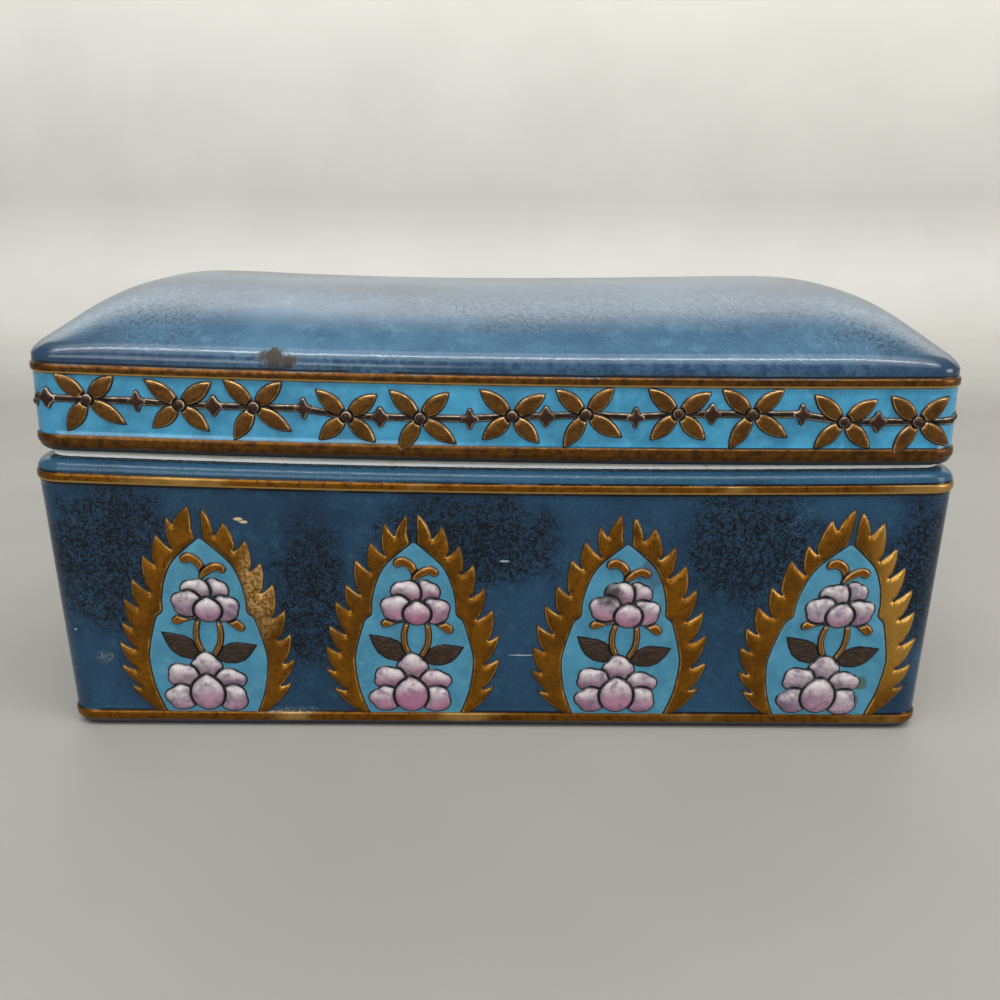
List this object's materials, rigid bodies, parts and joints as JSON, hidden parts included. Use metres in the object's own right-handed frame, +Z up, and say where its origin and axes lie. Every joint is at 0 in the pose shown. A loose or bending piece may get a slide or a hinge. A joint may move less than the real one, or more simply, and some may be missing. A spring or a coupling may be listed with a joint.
{
  "type": "cloisonne-style enamelled porcelain box",
  "caption": "Rectangular glazed porcelain box with a pillow-topped lift-off lid, raised gilt flame medallions and a flower frieze.",
  "frame": {"origin": "middle of the underside, on the surface that the box stands on", "axes": "+X along the length to the right seen from the front, +Y to the back, +Z up; the front wall faces -Y"},
  "size_m": [0.2062, 0.1129, 0.1019],
  "materials": {
    "body_glaze": "glossy mottled slate-blue glaze with raised gilt and enamel colours",
    "lid_glaze": "glossy mottled blue glaze with raised gilt and turquoise enamel"
  },
  "bodies": {
    "root": {"box_body": "body_glaze", "lid": "lid_glaze"}
  },
  "joints": []
}
